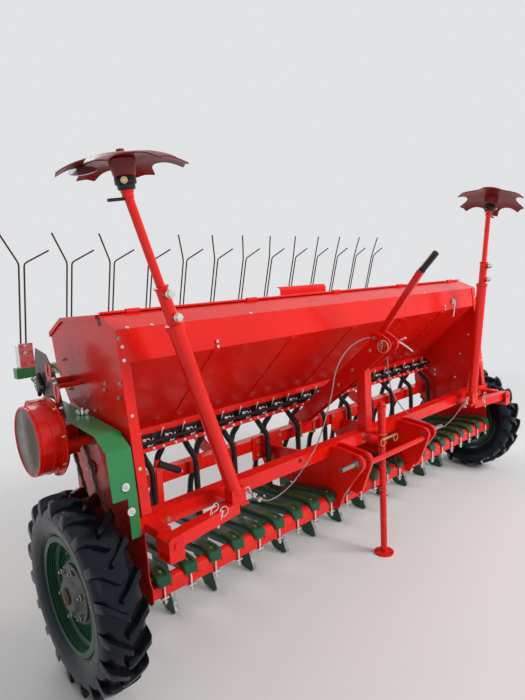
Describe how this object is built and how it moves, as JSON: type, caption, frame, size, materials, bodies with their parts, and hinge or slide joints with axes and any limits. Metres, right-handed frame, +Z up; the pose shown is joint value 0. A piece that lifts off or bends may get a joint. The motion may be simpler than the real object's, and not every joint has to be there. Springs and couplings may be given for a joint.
{
  "type": "mounted seed drill",
  "caption": "Tractor-mounted box seed drill with a long lidded hopper, metering row, shoe coulters, lugged wheels, folding row markers and a folding rear tine harrow.",
  "frame": {"origin": "middle of the parking stand's foot, on the ground", "axes": "+X across the machine to its far side seen from the drive box, -Y towards the tractor, +Z up"},
  "size_m": [3.145, 1.4383, 1.9464],
  "materials": {
    "red_paint": "gloss",
    "green_paint": "gloss",
    "dark_green_paint": "gloss",
    "black_plastic": "satin",
    "spring_steel": "satin",
    "zinc_steel": "satin",
    "tyre_rubber": "satin"
  },
  "bodies": {
    "frame": {"front_beam": "red_paint", "rear_beam": "red_paint", "side_plate_left": "red_paint", "side_plate_right": "red_paint", "coulter_bar": "red_paint", "link_brackets": "red_paint", "link_pins": "zinc_steel", "link_tie": "red_paint", "tower": "red_paint", "top_link_pin": "zinc_steel", "marker_lever": "red_paint", "stand_sleeve": "red_paint", "hopper": "red_paint", "hopper_ribs": "red_paint", "metering_housings": "black_plastic", "metering_shaft": "zinc_steel", "metering_rail": "red_paint", "seed_tubes": "black_plastic", "short_arms": "dark_green_paint", "long_arms": "dark_green_paint", "arm_clamps": "zinc_steel", "u_bolts": "zinc_steel", "coulters": "dark_green_paint", "axles": "red_paint", "gearbox": "red_paint", "scale_plate": "zinc_steel", "drive_guard": "green_paint", "drive_chain": "zinc_steel", "pressure_crank": "red_paint", "marker_brackets": "red_paint", "harrow_brackets": "red_paint", "cable_left": "zinc_steel", "cable_right": "zinc_steel"},
    "wheel_left": {"tyre_left": "tyre_rubber", "rim_left": "dark_green_paint"},
    "wheel_right": {"tyre_right": "tyre_rubber", "rim_right": "dark_green_paint"},
    "stand": {"stand_leg": "red_paint"},
    "lid": {"lid": "red_paint"},
    "marker_left": {"marker_left": "red_paint"},
    "marker_right": {"marker_right": "red_paint"},
    "disc_left": {"marker_disc_left": "red_paint"},
    "disc_right": {"marker_disc_right": "red_paint"},
    "harrow": {"harrow_frame": "green_paint", "harrow_tines": "spring_steel"}
  },
  "joints": [
    {"name": "wheel_left_spin", "type": "hinge", "parent": "frame", "child": "wheel_left", "pos_m": [-1.49, 0.288, 0.3675], "axis": [1, 0, 0], "continuous": true},
    {"name": "wheel_right_spin", "type": "hinge", "parent": "frame", "child": "wheel_right", "pos_m": [1.49, 0.288, 0.3675], "axis": [1, 0, 0], "continuous": true},
    {"name": "stand_slide", "type": "slide", "parent": "frame", "child": "stand", "axis": [0, 0, 1], "range_m": [0, 0.27]},
    {"name": "lid_hinge", "type": "hinge", "parent": "frame", "child": "lid", "pos_m": [0, 0.272, 1.38], "axis": [1, 0, 0], "range_deg": [0, 95]},
    {"name": "marker_left_swing", "type": "hinge", "parent": "frame", "child": "marker_left", "pos_m": [-1.306, -0.04965, 0.603], "axis": [0, -1, 0], "range_deg": [0, 105]},
    {"name": "marker_right_swing", "type": "hinge", "parent": "frame", "child": "marker_right", "pos_m": [1.306, -0.04965, 0.603], "axis": [0, 1, 0], "range_deg": [0, 111]},
    {"name": "disc_left_spin", "type": "hinge", "parent": "marker_left", "child": "disc_left", "pos_m": [-1.33937, 0, 1.86212], "axis": [-0.1045, 0, 0.9945], "continuous": true},
    {"name": "disc_right_spin", "type": "hinge", "parent": "marker_right", "child": "disc_right", "pos_m": [1.22308, 0, 1.89151], "axis": [0.3665, 0, 0.9304], "continuous": true},
    {"name": "harrow_fold", "type": "hinge", "parent": "frame", "child": "harrow", "pos_m": [0, 0.918, 0.8], "axis": [-1, 0, 0], "range_deg": [0, 145]}
  ]
}
